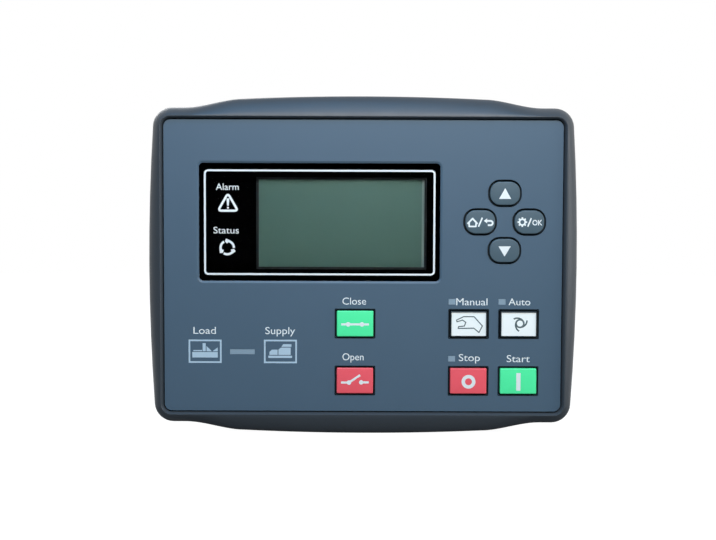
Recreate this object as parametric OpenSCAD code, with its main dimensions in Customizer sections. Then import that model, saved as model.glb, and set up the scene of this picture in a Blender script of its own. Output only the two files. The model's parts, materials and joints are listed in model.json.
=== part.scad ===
// Panel-mount genset controller: moulded bezel, keypad, display, boards and rear terminals.
// +X is right and +Z is up as seen from the front, and the display faces -Y.
// The front face of the mounting panel is the plane y = 0, with the origin at its cut-out's centre.

/* [Cut-out and housing] */
// Width of the hole in the mounting panel
cutout_w = 186; // [184:0.5:200]
// Height of the hole in the mounting panel
cutout_h = 141; // [139:0.5:155]
// Gap between the housing and the edge of that hole
cutout_clear = 1; // [0.5:0.1:1.2]
// Side wall of the rear housing
wall = 2.5; // [2:0.1:2.8]
// Rear wall of the housing
rear_wall = 2; // [1.6:0.1:3]
// Outer corner radius of the housing
housing_r = 4; // [3.5:0.1:6]
// Depth of the housing behind the mounting panel
body_depth = 35; // [34:0.5:45]
// Height of the raised middle of the housing
hump_h = 84; // [78:1:92]
// Width of one ventilation slot
vent_w = 2.2; // [1.5:0.1:3]
// Length of one ventilation slot
vent_l = 16; // [10:1:24]
// Spacing of the ventilation slots
vent_pitch = 5.5; // [5:0.1:8]
// Height of a fixing-clip slot
clip_h = 12; // [8:0.5:16]
// Depth of a fixing-clip slot into the side wall
clip_d = 1.5; // [1:0.1:1.8]

/* [Bezel] */
// How far the bezel stands in front of the mounting panel
bezel_rise = 10.2; // [9.8:0.1:14]
// Frame width beside the panel, at mid-height
frame_side = 7.9; // [6.6:0.1:10]
// Frame width above and below the panel, at the corners
frame_end = 6.1; // [5.2:0.1:9]
// Outer corner radius
corner_r = 9.5; // [8:0.5:14]
// Outward bow of the two sides
side_bow = 2.3; // [0.5:0.1:2.6]
// Height of the S-shaped shoulders at top and bottom
shoulder_rise = 4.2; // [1:0.1:6]
// Further rise from the shoulders to the middle
crown_rise = 1.35; // [0.5:0.05:4]
// Distance from the middle to the outer end of a shoulder
shoulder_out = 87.5; // [76:0.5:88]
// Distance from the middle to the inner end of a shoulder
shoulder_in = 58.5; // [40:0.5:70]
// Flat rim beside the panel recess
rim_w = 0.6; // [0.5:0.1:3]
// Fall of the frame's face that starts as a slope at the rim
rim_fall = 2.8; // [0:0.1:3.6]
// Distance of the widest line in front of the mounting panel
edge_rise = 4; // [2:0.1:6]
// Depth of the panel below the rim
recess_d = 2.2; // [1:0.1:3]
// Slope of the recess wall, measured across
recess_draft = 1.1; // [0.4:0.1:1.6]
// Thickness of the sealing ring
gasket_t = 2; // [1.5:0.1:3]
// Width of the sealing ring
gasket_w = 3.2; // [2:0.1:3.6]
// How far the sealing ring stands out of its groove
gasket_proud = 1; // [0.6:0.1:1.2]
// Distance of the sealing ring from the edge of the cut-out
gasket_in = 1.5; // [0.8:0.1:1.8]

/* [Front panel] */
// Thickness of the front panel
panel_t = 3; // [2.6:0.1:3.4]
// Corner radius of the front panel
panel_r = 3.5; // [2:0.5:6]
// Gap between the front panel and the recess wall
panel_gap = 0.15; // [0.1:0.05:0.5]
// Seat of the panel beyond the body opening, at the sides
seat_side = 7.8; // [7:0.1:12]
// Seat of the panel beyond the body opening, at top and bottom
seat_end = 4.3; // [3.6:0.1:8]
// Width of the ledge that the panel lies on
ledge_w = 4; // [3:0.1:4.4]

/* [Display] */
// Visible width of the liquid crystal display
lcd_w = 81.2; // [76:0.2:84]
// Visible height of the liquid crystal display
lcd_h = 42.8; // [40:0.2:44]
// Window to the left of the display, for the two symbols
lens_left = 28.9; // [27:0.1:30]
// Window to the right of the display
lens_right = 7.5; // [6:0.1:9]
// Window above the display
lens_above = 7.9; // [6:0.1:9]
// Window below the display
lens_below = 6.7; // [5:0.1:8]
// Corner radius of the window
lens_r = 2; // [1:0.1:4]
// Thickness of the window
lens_t = 1.2; // [1:0.1:1.5]
// Depth of the window below the panel's face
lens_drop = 0.5; // [0.2:0.1:0.8]
// Bevel of the panel round the window
lens_bevel = 1; // [0.4:0.1:1.6]
// Clearance round the window
lens_clear = 0.15; // [0.05:0.05:0.3]
// Thickness of the adhesive tape behind the window
tape_t = 0.2; // [0.1:0.05:0.3]
// Width of the adhesive tape
tape_w = 2.4; // [1.5:0.1:3]
// Distance of the window from the panel's left edge
lens_from_left = 17.2; // [15:0.1:18]
// Distance of the window from the panel's top edge
lens_from_top = 21.1; // [18:0.1:23]
// Width of the display frame round the visible area
lcd_border = 7; // [6:0.2:7.5]
// Thickness of the display frame's front and sides
lcd_flange_t = 1; // [0.6:0.1:1.5]
// Thickness of the foam seal in front of the display
lcd_seal_t = 0.5; // [0.3:0.1:1]
// Thickness of the display glass
glass_t = 2; // [1.5:0.1:2.5]
// Thickness of the backlight
backlight_t = 4.5; // [4:0.1:6]

/* [Keys] */
// Width of a rectangular key
key_w = 17.9; // [16:0.1:18.6]
// Height of a rectangular key
key_h = 12.6; // [11:0.1:13.6]
// Corner radius of a rectangular key
key_r = 0.9; // [0.4:0.1:2]
// Width of an oval key
pill_w = 14.5; // [12.5:0.1:15]
// Height of an oval key
pill_h = 11.4; // [10.8:0.1:12]
// Corner radius of an oval key
pill_r = 5; // [3:0.1:5.3]
// Gap round a key in the panel
key_gap = 1; // [0.5:0.1:1.2]
// Height of a key above the panel's face
key_proud = 1; // [0.6:0.1:1.8]
// Bevel round a key's face
key_edge = 0.5; // [0.2:0.1:0.6]
// Travel of a key
key_travel = 1; // [0.5:0.1:1.3]
// Overlap of a key's flange behind the panel
key_lip = 0.8; // [0.5:0.1:1]
// Thickness of a key's flange
key_flange_t = 1; // [0.8:0.1:1.3]
// Clearance between a key's flange and the panel
key_seat = 0.2; // [0.1:0.05:0.3]
// Distance of the right key column from the panel's right edge
key_from_right = 20.9; // [20.5:0.1:24]
// Distance of the lower key row from the panel's bottom edge
key_from_bottom = 15.1; // [13.8:0.1:16]
// Spacing of the two right key columns
key_pitch_x = 24.5; // [23.5:0.1:26]
// Spacing of the two key rows
key_pitch_z = 28.1; // [26:0.1:30]
// Place of the two breaker keys across the panel
breaker_x = -3.8; // [-8:0.1:4]
// Distance of the oval keys' centre from the panel's right edge
nav_from_right = 28.25; // [28:0.05:30]
// Distance of the oval keys' centre from the panel's top edge
nav_from_top = 49.35; // [44:0.05:52]
// Distance of the left and right oval keys from their centre
nav_dx = 12; // [11.8:0.1:12.4]
// Distance of the upper and lower oval keys from their centre
nav_dz = 13.95; // [13.6:0.05:15]
// Thickness of the rubber mat under the keys
mat_t = 1; // [0.8:0.1:1.5]
// Margin of the rubber mat round the keys
mat_edge = 2.5; // [2:0.1:2.8]
// Radius of a rubber dome at its foot
dome_r = 5.5; // [5:0.1:5.7]
// Radius of a rubber dome at its top
dome_top_r = 4; // [3:0.1:4.5]

/* [Lamps] */
// Width of a mode lamp
lamp_w = 3.4; // [2.6:0.1:4]
// Height of a mode lamp
lamp_h = 2.7; // [2:0.1:3]
// Offset of a mode lamp to the left of its key's centre
lamp_dx = 8.2; // [7:0.1:9]
// Offset of a mode lamp above its key's centre
lamp_dz = 10.9; // [10.4:0.1:11.2]
// Width of the supply bar lamp
link_w = 12.1; // [8:0.1:14]
// Height of the supply bar lamp
link_h = 2.4; // [2:0.1:3]
// Distance of the supply bar lamp from the panel's left edge
link_from_left = 38.2; // [36:0.1:42]
// Distance of the supply bar lamp from the panel's bottom edge
link_from_bottom = 29.1; // [24:0.1:34]
// Size of the light guides behind the window's two symbols
guide_w = 9.2; // [7:0.1:10]
// Gap between those light guides and the display frame
guide_clear = 2.5; // [1:0.1:3]
// Height of the upper symbol above the window's centre
alarm_dz = 9.5; // [7:0.1:12]
// Depth of the lower symbol below the window's centre
status_dz = 12.5; // [9:0.1:14]
// Flange of a lamp behind the panel
lamp_lip = 0.8; // [0.5:0.1:1]
// Thickness of a lamp's flange
lamp_flange_t = 1; // [0.6:0.1:1.5]

/* [Boards] */
// Thickness of both circuit boards
board_t = 1.6; // [1.2:0.1:2]
// Gap between a board and the housing wall
board_clear = 1.5; // [1:0.1:1.8]
// Length of the spacers between the boards
spacer_l = 7.4; // [6.5:0.1:10]
// Width of a spacer across its flats
spacer_af = 5.5; // [5:0.1:6]
// Place of the upper spacers to either side
spacer_x = 70; // [68:0.5:74]
// Place of the upper spacers above the middle
spacer_z = 56; // [52:0.5:57]
// Place of the lower left spacer from the middle
spacer_left = 80; // [70:0.5:81]
// Nominal diameter of the board screws
board_screw_d = 2.5; // [2:0.1:3]
// Shank diameter of the housing screws
case_screw_d = 2.9; // [2.5:0.1:3.2]
// Distance of the housing screws from the inner walls
case_screw_in = 4.5; // [4.2:0.1:5]
// Diameter of the housing's screw columns
column_d = 7; // [6.4:0.1:7.6]
// Room behind the rear board for its screw heads
step_clear = 2.4; // [2.2:0.1:4]

/* [Terminals] */
// Distance of each terminal row from the middle
row_z = 55; // [54:0.5:56]
// Width of a terminal socket across the row
header_d = 8.6; // [8:0.1:9.2]
// Height of a terminal socket
header_h = 12; // [11:0.1:13]
// Base of a terminal socket
header_base = 3; // [2.5:0.1:4]
// Wall of a terminal socket
header_wall = 0.8; // [0.6:0.1:1]
// Length of a plug behind its socket
plug_l = 9.4; // [8.5:0.1:11]
// Height of a plug across the row
plug_h = 15; // [14:0.1:15.5]
// Width of a terminal pin
pin_w = 1; // [0.8:0.1:1.1]
// Diameter of a terminal screw
term_screw_d = 3.6; // [3:0.1:3.8]

/* [Hidden] */
$fn = 64;
hull_fn = 32;
eps = 0.02;
fit = 0.1;
slack = 0.3;

// Plan sizes, from the cut-out inwards and outwards
housing_w = cutout_w - 2 * cutout_clear;
housing_h = cutout_h - 2 * cutout_clear;
throat_w = housing_w - 2 * wall;
throat_h = housing_h - 2 * wall;
throat_r = housing_r - wall;
panel_w = throat_w + 2 * seat_side;
panel_h = throat_h + 2 * seat_end;
bezel_w = panel_w + 2 * frame_side;
corner_h = panel_h + 2 * frame_end;
board_w = throat_w - 2 * board_clear;
board_h = throat_h - 2 * board_clear;
gasket_iw = cutout_w + 2 * gasket_in;
gasket_ih = cutout_h + 2 * gasket_in;
gasket_r = housing_r + gasket_in;
pocket_r = 1;
ledge_bite = 1;

// Planes in depth, from the front to the back
crest_y = -bezel_rise;
panel_front_y = crest_y + recess_d;
panel_back_y = panel_front_y + panel_t;
flange_y = -gasket_proud;
groove_y = -gasket_t;
lens_front_y = panel_front_y + lens_drop;
lens_back_y = lens_front_y + lens_t;
lens_floor_y = lens_back_y + tape_t;
lcd_front_y = panel_back_y + lcd_seal_t;
glass_front_y = lcd_front_y + lcd_flange_t;
glass_back_y = glass_front_y + glass_t;
board_front_y = glass_back_y + backlight_t;
board_back_y = board_front_y + board_t;
io_front_y = board_back_y + spacer_l;
io_back_y = io_front_y + board_t;
step_in_y = io_back_y + step_clear;
step_y = step_in_y + rear_wall;
key_front_y = panel_front_y - key_proud;
key_flange_y = panel_back_y + key_seat;
key_back_y = key_flange_y + key_flange_t;
key_over = 0.5;
pocket_y = key_back_y + key_travel + key_over;

// Places on the panel
right_x = panel_w / 2 - key_from_right;
mode_x = right_x - key_pitch_x;
low_z = key_from_bottom - panel_h / 2;
high_z = low_z + key_pitch_z;
nav_x = panel_w / 2 - nav_from_right;
nav_z = panel_h / 2 - nav_from_top;
lens_w = lens_left + lcd_w + lens_right;
lens_h = lens_above + lcd_h + lens_below;
lens_x = lens_from_left + lens_w / 2 - panel_w / 2;
lens_z = panel_h / 2 - lens_from_top - lens_h / 2;
lcd_x = lens_x - lens_w / 2 + lens_left + lcd_w / 2;
lcd_z = lens_z + lens_h / 2 - lens_above - lcd_h / 2;
link_x = link_from_left - panel_w / 2;
link_z = link_from_bottom - panel_h / 2;
guide_x = lcd_x - lcd_w / 2 - lcd_border - guide_clear - lamp_lip - guide_w / 2;

// Oval keys first, then rectangular ones, each as [x, z]
PILLS = [[nav_x, nav_z + nav_dz], [nav_x, nav_z - nav_dz],
    [nav_x - nav_dx, nav_z], [nav_x + nav_dx, nav_z]];
BLOCKS = [[breaker_x, high_z], [breaker_x, low_z], [mode_x, high_z], [right_x, high_z],
    [mode_x, low_z], [right_x, low_z]];
MODE_LAMPS = [for (i = [2, 3, 4]) BLOCKS[i] + [-lamp_dx, lamp_dz]];
GUIDES = [[guide_x, lens_z + alarm_dz], [guide_x, lens_z - status_dz]];

// Screws and spacers
case_x = throat_w / 2 - case_screw_in;
case_z = throat_h / 2 - case_screw_in;
CASE_SCREWS = [for (sx = [-1, 1], sz = [-1, 1]) [sx * case_x, sz * case_z]];
spacer_low_z = (high_z + low_z) / 2;
SPACERS = [[-spacer_x, spacer_z], [spacer_x, spacer_z], [-spacer_left, spacer_low_z],
    [(mode_x + right_x) / 2, spacer_low_z]];
head_ratio = 1.95;
slot_share = 0.65;
thread_share = 0.4;
board_head_d = board_screw_d * head_ratio;
board_head_h = 1.8;
case_head_d = case_screw_d * head_ratio;
case_head_h = 2;

// Terminal rows: [ways, pitch, x of the middle, side of the row]
fine_pitch = 5.08;
wide_pitch = 7.62;
power_x = -31;
inputs_x = 38;
voltage_x = -38;
current_x = -1;
sensors_x = 38;
POWER = [13, fine_pitch, power_x, -1];
INPUTS = [10, fine_pitch, inputs_x, -1];
VOLTAGE = [5, wide_pitch, voltage_x, 1];
CURRENT = [4, fine_pitch, current_x, 1];
SENSORS = [8, fine_pitch, sensors_x, 1];
ROWS = [POWER, INPUTS, VOLTAGE, CURRENT, SENSORS];
header_top_y = io_back_y + header_h;
header_floor_y = io_back_y + header_base;
plug_y = header_top_y + slack;
plug_back_y = plug_y + plug_l;
term_screw_y = plug_y + plug_l / 2;

// Parts on the rear board, in an upper and a lower row
phases = 3;
relay_count = 5;
high_parts_z = 22;
low_parts_z = -24;

// Raised rear cover: foot lip in the housing's opening, with snap hooks under its edge
cover_w = throat_w - 2 * fit;
cover_h = hump_h - 2 * wall - 2 * fit;
lip_t = 1.2;
lip_l = 1.5;

// Bezel outline, one quadrant at a time
side_steps = 4;
corner_steps = 8;
flat_steps = 2;
shoulder_steps = 12;
crown_steps = 10;
nose_steps = 8;
corner_z = corner_h / 2 - corner_r;
lean = atan(2 * side_bow / corner_z);
side_end_z = corner_z + corner_r * sin(lean);
corner_x = bezel_w / 2 - side_bow - corner_r * cos(lean);
ring_points = 4 * (side_steps + corner_steps + flat_steps + shoulder_steps + crown_steps);

// Shares of the top edge at which its points lie, from the corner to the middle
TOP_SHARES = concat(
    [for (i = [0 : flat_steps - 1]) blend(corner_x, shoulder_out, i / flat_steps) / corner_x],
    [for (i = [0 : shoulder_steps - 1]) blend(shoulder_out, shoulder_in, i / shoulder_steps) / corner_x],
    [for (i = [0 : crown_steps]) blend(shoulder_in, 0, i / crown_steps) / corner_x]);

function blend(a, b, t) = a + (b - a) * t;
function ease(t) = let (c = max(0, min(1, t))) c * c * (3 - 2 * c);
function shoulder(x) = shoulder_rise * ease((shoulder_out - x) / (shoulder_out - shoulder_in));
function crown(x) = crown_rise * max(0, 1 - pow(x / shoulder_in, 2));
function side_x(z) = bezel_w / 2 - side_bow * pow(z / side_end_z, 2);

// The outer outline's quadrant: bowed side, corner arc, then shoulder and crown
function outer_quadrant() = concat(
    [for (i = [0 : side_steps - 1]) let (z = side_end_z * i / side_steps) [side_x(z), z]],
    [for (i = [0 : corner_steps - 1]) let (a = blend(lean, 90, i / corner_steps))
        [corner_x + corner_r * cos(a), corner_z + corner_r * sin(a)]],
    [for (s = TOP_SHARES) let (x = corner_x * s) [x, corner_h / 2 + shoulder(x) + crown(x)]]);

// A rounded rectangle's quadrant with the same number of points
function inner_quadrant(a, b, r) = concat(
    [for (i = [0 : side_steps - 1]) [a, (b - r) * i / side_steps]],
    [for (i = [0 : corner_steps - 1]) let (t = 90 * i / corner_steps)
        [a - r + r * cos(t), b - r + r * sin(t)]],
    [for (s = TOP_SHARES) [(a - r) * s, b]]);

function ring(q) = let (m = len(q) - 1) concat(
    q,
    [for (i = [m - 1 : -1 : 0]) [-q[i][0], q[i][1]]],
    [for (i = [1 : m]) [-q[i][0], -q[i][1]]],
    [for (i = [m - 1 : -1 : 1]) [q[i][0], -q[i][1]]]);

// Rings of half-width a, half-height b and corner radius r, and round the panel grown by some distance
function box_ring(a, b, r) = ring(inner_quadrant(a, b, r));
function panel_ring(grow) = box_ring(panel_w / 2 + grow, panel_h / 2 + grow, panel_r + grow);
function at_depth(points, y) = [for (p = points) [p[0], y, p[1]]];

module slab(y0, y1) {
    translate([0, y1, 0])
        rotate([90, 0, 0])
            linear_extrude(y1 - y0)
                children();
}

module at(p) {
    translate([p[0], 0, p[1]])
        children();
}

module round_rect(w, h, r) {
    square([w - 2 * r, h], center = true);
    square([w, h - 2 * r], center = true);
    for (x = [-1, 1], z = [-1, 1])
        translate([x * (w / 2 - r), z * (h / 2 - r)])
            circle(r);
}

// A round bar along Y
module bar(y0, y1, d) {
    slab(y0, y1)
        circle(d = d);
}

// The bezel's moulded ring, as one section carried round: recess, rim, rolled nose, back, groove and throat
module bezel_ring() {
    foot = panel_gap;
    lip = foot + recess_draft;
    soft = 0.35;
    back_taper = 0.05;
    nose_roll = bezel_rise - edge_rise - rim_fall;
    rim = panel_ring(lip + rim_w);
    outer = ring(outer_quadrant());
    nose = [for (i = [1 : nose_steps]) let (a = 90 * i / nose_steps)
        at_depth([for (k = [0 : ring_points - 1]) blend(rim[k], outer[k], sin(a))],
            crest_y + rim_fall * sin(a) + nose_roll * (1 - cos(a)))];
    back = [for (k = [0 : ring_points - 1]) blend(outer[k], rim[k], back_taper)];
    groove_w = gasket_w + fit;
    groove_out = box_ring(gasket_iw / 2 + groove_w, gasket_ih / 2 + groove_w, gasket_r + gasket_w);
    groove_in = box_ring(gasket_iw / 2 - fit, gasket_ih / 2 - fit, gasket_r);
    throat = box_ring(throat_w / 2, throat_h / 2, throat_r);
    pocket = box_ring(panel_w / 2 - ledge_w, panel_h / 2 - ledge_w, pocket_r);
    loops = concat(
        [at_depth(pocket, panel_back_y)],
        [at_depth(panel_ring(foot), panel_back_y)],
        [at_depth(panel_ring(lip), crest_y + soft)],
        [at_depth(panel_ring(lip + soft), crest_y)],
        [at_depth(rim, crest_y)],
        nose,
        [at_depth(back, flange_y)],
        [at_depth(groove_out, flange_y)],
        [at_depth(groove_out, groove_y)],
        [at_depth(groove_in, groove_y)],
        [at_depth(groove_in, flange_y)],
        [at_depth(throat, flange_y)],
        [at_depth(throat, pocket_y)],
        [at_depth(pocket, pocket_y)]);
    count = len(loops) * ring_points;
    skin = [for (n = [0 : len(loops) - 1], k = [0 : ring_points - 1])
        let (a = n * ring_points + k, b = n * ring_points + (k + 1) % ring_points)
        let (c = (b + ring_points) % count, d = (a + ring_points) % count)
        each [[a, b, c], [a, c, d]]];
    polyhedron(points = [for (l = loops) each l], faces = skin);
}

// Corner gussets across the throat, with a boss for each housing screw
module bezel_bosses() {
    reach = case_screw_in + ledge_bite;
    size = reach + column_d / 2;
    out = (reach - column_d / 2) / 2;
    for (p = CASE_SCREWS)
        at(p) {
            translate([sign(p[0]) * out, 0, sign(p[1]) * out])
                slab(pocket_y + fit, flange_y - fit)
                    square([size, size], center = true);
            bar(pocket_y + 2 * fit, board_front_y, column_d);
        }
}

module front_bezel() {
    color("#5f666b")
        difference() {
            union() {
                bezel_ring();
                bezel_bosses();
            }
            for (p = CASE_SCREWS)
                at(p)
                    bar(pocket_y + slack, board_front_y + eps, case_screw_d + fit);
        }
}

module panel_gasket() {
    color("#202224")
        slab(groove_y, 0)
            difference() {
                round_rect(gasket_iw + 2 * gasket_w, gasket_ih + 2 * gasket_w, gasket_r + gasket_w);
                round_rect(gasket_iw, gasket_ih, gasket_r);
            }
}

module front_panel() {
    color("#5a7186")
        difference() {
            slab(panel_front_y, panel_back_y)
                round_rect(panel_w, panel_h, panel_r);
            for (p = PILLS)
                at(p)
                    slab(panel_front_y - eps, panel_back_y + eps)
                        round_rect(pill_w + 2 * key_gap, pill_h + 2 * key_gap, pill_r + key_gap);
            for (p = BLOCKS)
                at(p)
                    slab(panel_front_y - eps, panel_back_y + eps)
                        round_rect(key_w + 2 * key_gap, key_h + 2 * key_gap, key_r + key_gap);
            for (p = MODE_LAMPS)
                at(p)
                    slab(panel_front_y - eps, panel_back_y + eps)
                        square([lamp_w + fit, lamp_h + fit], center = true);
            at([link_x, link_z])
                slab(panel_front_y - eps, panel_back_y + eps)
                    square([link_w + fit, link_h + fit], center = true);
            at([lens_x, lens_z]) {
                slab(panel_front_y - eps, lens_floor_y)
                    round_rect(lens_w + 2 * lens_clear, lens_h + 2 * lens_clear, lens_r + lens_clear);
                lens_bevel_cut();
            }
            at([lcd_x, lcd_z])
                slab(lens_floor_y - eps, panel_back_y + eps)
                    square([lcd_w + lcd_border, lcd_h + lcd_border], center = true);
            for (p = GUIDES)
                at(p)
                    slab(lens_floor_y - eps, panel_back_y + eps)
                        square([guide_w + fit, guide_w + fit], center = true);
        }
}

// The bevel that leads from the panel's face down to the window
module lens_bevel_cut() {
    w = lens_w + 2 * lens_clear;
    h = lens_h + 2 * lens_clear;
    r = lens_r + lens_clear;
    hull() {
        slab(panel_front_y - eps, panel_front_y)
            round_rect(w + 2 * lens_bevel, h + 2 * lens_bevel, r + lens_bevel, $fn = hull_fn);
        slab(lens_front_y, lens_front_y + eps)
            round_rect(w - eps, h - eps, r, $fn = hull_fn);
    }
}

module display_window() {
    color("#0a0c0e")
        at([lens_x, lens_z])
            slab(lens_front_y, lens_back_y)
                round_rect(lens_w, lens_h, lens_r);
}

module window_tape() {
    color("#d8d4c4")
        at([lens_x, lens_z])
            slab(lens_back_y, lens_floor_y)
                difference() {
                    round_rect(lens_w, lens_h, lens_r);
                    square([lens_w - 2 * tape_w, lens_h - 2 * tape_w], center = true);
                }
}

module lcd_seal() {
    color("#1c1c1e")
        at([lcd_x, lcd_z])
            slab(panel_back_y, lcd_front_y)
                difference() {
                    square([lcd_w + 2 * lcd_border, lcd_h + 2 * lcd_border], center = true);
                    square([lcd_w + lcd_border, lcd_h + lcd_border], center = true);
                }
}

module lcd_frame() {
    color("#16181a")
        at([lcd_x, lcd_z])
            difference() {
                slab(lcd_front_y, board_front_y)
                    square([lcd_w + 2 * lcd_border, lcd_h + 2 * lcd_border], center = true);
                slab(lcd_front_y - eps, board_front_y)
                    square([lcd_w, lcd_h], center = true);
                slab(glass_front_y, board_front_y + eps)
                    square([glass_w() + 2 * fit, glass_h() + 2 * fit], center = true);
            }
}

function glass_w() = lcd_w + 2 * (lcd_border - lcd_flange_t) - 2 * fit;
function glass_h() = lcd_h + 2 * (lcd_border - lcd_flange_t) - 2 * fit;
strip_h = 2.4;

module lcd_glass() {
    color("#4f6960")
        at([lcd_x, lcd_z])
            slab(glass_front_y, glass_back_y)
                square([glass_w(), glass_h()], center = true);
}

// The backlight leaves room at its foot for the contact strip
module lcd_backlight() {
    color("#dfe6dc")
        at([lcd_x, lcd_z + (strip_h + slack) / 2])
            slab(glass_back_y, board_front_y)
                square([glass_w(), glass_h() - strip_h - slack], center = true);
}

module lcd_connector() {
    color("#c77a8c")
        at([lcd_x, lcd_z - (glass_h() - strip_h) / 2])
            slab(glass_back_y, board_front_y)
                square([lcd_w, strip_h], center = true);
}

// A key: bevelled cap, shaft through the panel and a flange that holds it in
module key_body(w, h, r) {
    face_r = max(r - key_edge, key_edge / 2);
    hull() {
        slab(key_front_y, key_front_y + eps)
            round_rect(w - 2 * key_edge, h - 2 * key_edge, face_r, $fn = hull_fn);
        slab(key_front_y + key_edge, key_front_y + key_edge + eps)
            round_rect(w, h, r, $fn = hull_fn);
    }
    slab(key_front_y + key_edge, key_flange_y + eps)
        round_rect(w, h, r);
    slab(key_flange_y, key_back_y)
        round_rect(w + 2 * (key_gap + key_lip), h + 2 * (key_gap + key_lip), r + key_gap);
}

module pill_key(i) {
    at(PILLS[i])
        key_body(pill_w, pill_h, pill_r);
}

module block_key(i) {
    at(BLOCKS[i])
        key_body(key_w, key_h, key_r);
}

module key_up() {
    color("#5a717e")
        pill_key(0);
}

module key_down() {
    color("#5a717e")
        pill_key(1);
}

module key_back() {
    color("#5a717e")
        pill_key(2);
}

module key_ok() {
    color("#5a717e")
        pill_key(3);
}

module key_close() {
    color("#55e8a6")
        block_key(0);
}

module key_open() {
    color("#d25c69")
        block_key(1);
}

module key_manual() {
    color("#e7fafb")
        block_key(2);
}

module key_auto() {
    color("#e7fafb")
        block_key(3);
}

module key_stop() {
    color("#e76269")
        block_key(4);
}

module key_start() {
    color("#55e8a6")
        block_key(5);
}

// One rubber mat lies on the board and lifts every key on a hollow dome
module keypad_mat() {
    mat_y = board_front_y - mat_t;
    dome_gap = 0.1;
    roof_t = 1.5;
    dome_hollow = 1.2;
    lamp_room = 2;
    dome_y = key_back_y + dome_gap;
    left = breaker_x - key_w / 2 - mat_edge;
    right = right_x + key_w / 2 + mat_edge;
    bottom = low_z - key_h / 2 - mat_edge;
    shelf = high_z + key_h / 2 + mat_edge;
    nav_left = nav_x - nav_dx - pill_w / 2 - mat_edge;
    top = nav_z + nav_dz + pill_h / 2 + mat_edge;
    color("#3a3f44")
        difference() {
            union() {
                slab(mat_y, board_front_y)
                    polygon([[left, bottom], [case_x, bottom], [right, -case_z], [right, top],
                        [nav_left, top], [nav_left, shelf], [left, shelf]]);
                for (p = concat(PILLS, BLOCKS))
                    at(p)
                        translate([0, mat_y + eps, 0])
                            rotate([90, 0, 0])
                                cylinder(h = mat_y + eps - dome_y, r1 = dome_r, r2 = dome_top_r);
            }
            for (p = concat(PILLS, BLOCKS))
                at(p)
                    bar(dome_y + roof_t, board_front_y + eps, 2 * (dome_top_r - dome_hollow));
            for (p = MODE_LAMPS)
                at(p)
                    slab(mat_y - eps, board_front_y + eps)
                        square([lamp_w + lamp_room, lamp_h + lamp_room], center = true);
            for (p = CASE_SCREWS)
                at(p)
                    bar(mat_y - eps, board_front_y + eps, column_d + 2 * slack);
            for (p = SPACERS)
                at(p)
                    bar(mat_y - eps, board_front_y + eps, board_head_d + 2 * slack);
        }
}

// A light guide: window in the panel, flange behind it and a tail down to its lamp
led_h = 0.8;
module light_guide(p, w, h, face_y) {
    tail = 1.6;
    at(p) {
        slab(face_y, panel_back_y + eps)
            square([w, h], center = true);
        slab(panel_back_y, panel_back_y + lamp_flange_t)
            square([w + 2 * lamp_lip, h + 2 * lamp_lip], center = true);
        slab(panel_back_y + lamp_flange_t - eps, board_front_y - led_h - slack)
            square([w, tail], center = true);
    }
}

module lamp_manual() {
    color("#7e97aa")
        light_guide(MODE_LAMPS[0], lamp_w, lamp_h, panel_front_y);
}

module lamp_auto() {
    color("#7e97aa")
        light_guide(MODE_LAMPS[1], lamp_w, lamp_h, panel_front_y);
}

module lamp_stop() {
    color("#7e97aa")
        light_guide(MODE_LAMPS[2], lamp_w, lamp_h, panel_front_y);
}

module lamp_link() {
    color("#889db6")
        light_guide([link_x, link_z], link_w, link_h, panel_front_y);
}

module guide_alarm() {
    color("#e8ecee")
        light_guide(GUIDES[0], guide_w, guide_w, lens_floor_y);
}

module guide_status() {
    color("#e8ecee")
        light_guide(GUIDES[1], guide_w, guide_w, lens_floor_y);
}

module indicator_leds() {
    led_w = 2;
    led_d = 1.25;
    color("#f2f2dc")
        for (p = concat(MODE_LAMPS, GUIDES, [[link_x, link_z]]))
            at(p)
                slab(board_front_y - led_h, board_front_y)
                    square([led_w, led_d], center = true);
}

module board_outline() {
    round_rect(board_w, board_h, throat_r);
}

module screw_holes(points, y0, y1, d) {
    for (p = points)
        at(p)
            bar(y0 - eps, y1 + eps, d);
}

module display_board() {
    color("#2f6b45")
        difference() {
            slab(board_front_y, board_back_y)
                board_outline();
            screw_holes(CASE_SCREWS, board_front_y, board_back_y, case_screw_d + slack);
            screw_holes(SPACERS, board_front_y, board_back_y, board_screw_d + slack);
        }
}

module chip(x, z, w, h, y0, y1) {
    at([x, z])
        slab(y0, y1)
            square([w, h], center = true);
}

module processor() {
    size = 14;
    height = 1.4;
    x = 20;
    z = 18;
    color("#1a1a1c")
        chip(x, z, size, size, board_back_y, board_back_y + height);
}

module memory_chips() {
    width = 5;
    depth = 4;
    height = 1.6;
    x = 42;
    z = 18;
    offset = 6;
    color("#1a1a1c")
        for (side = [-1, 1])
            chip(x, z + side * offset, width, depth, board_back_y, board_back_y + height);
}

// Plug-in link between the two boards, side by side rows of pins in a socket
link_base = 2.5;
link_strip_w = 50.8;
link_strip_h = 5;
link_strip_z = -12;

module link_header() {
    color("#1b1c1f")
        chip(0, link_strip_z, link_strip_w, link_strip_h, board_back_y, board_back_y + link_base);
}

module link_socket() {
    color("#24262a")
        chip(0, link_strip_z, link_strip_w, link_strip_h, board_back_y + link_base, io_front_y);
}

module board_spacers() {
    color("#c9a54a")
        for (p = SPACERS)
            at(p)
                difference() {
                    slab(board_back_y, io_front_y)
                        circle(d = spacer_af / cos(30), $fn = 6);
                    bar(board_back_y - eps, io_front_y + eps, board_screw_d + fit);
                }
}

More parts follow.
